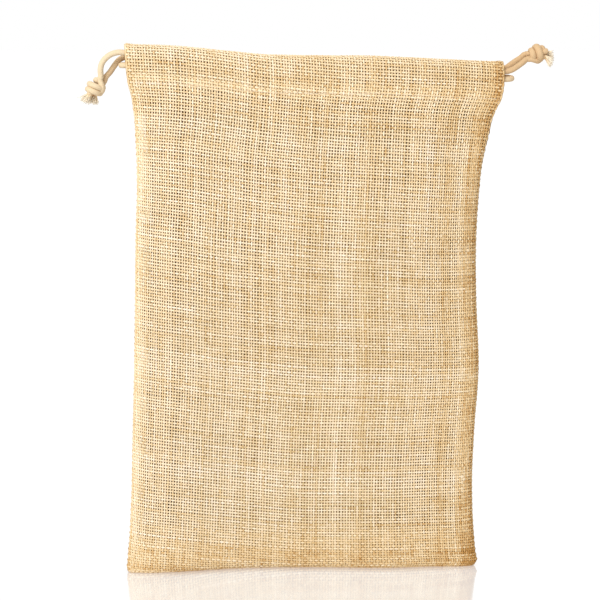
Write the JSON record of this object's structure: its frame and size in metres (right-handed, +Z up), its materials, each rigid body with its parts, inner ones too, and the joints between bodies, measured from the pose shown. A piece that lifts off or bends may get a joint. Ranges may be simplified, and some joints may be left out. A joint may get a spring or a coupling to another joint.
{
  "type": "burlap drawstring sack",
  "caption": "Natural jute burlap pouch that stands upright on its folded foot, its rim turned into a casing that holds knotted cotton drawstrings.",
  "frame": {"origin": "on the surface that the sack stands on, under the middle of the cloth's box", "axes": "+Z up from the foot to the mouth; the front faces -Y; +X to the right when seen from the front"},
  "size_m": [0.3299, 0.0539, 0.3772],
  "materials": {
    "jute_cloth": "loosely woven natural jute, matt",
    "cotton_cord": "waxed cream cotton cord, matt"
  },
  "bodies": {
    "root": {"sack_cloth": "jute_cloth", "drawstring_left": "cotton_cord", "drawstring_right": "cotton_cord", "knot_left": "cotton_cord", "knot_right": "cotton_cord", "frayed_end_left_front": "cotton_cord", "frayed_end_left_back": "cotton_cord", "frayed_end_right_front": "cotton_cord", "frayed_end_right_back": "cotton_cord"}
  },
  "joints": []
}
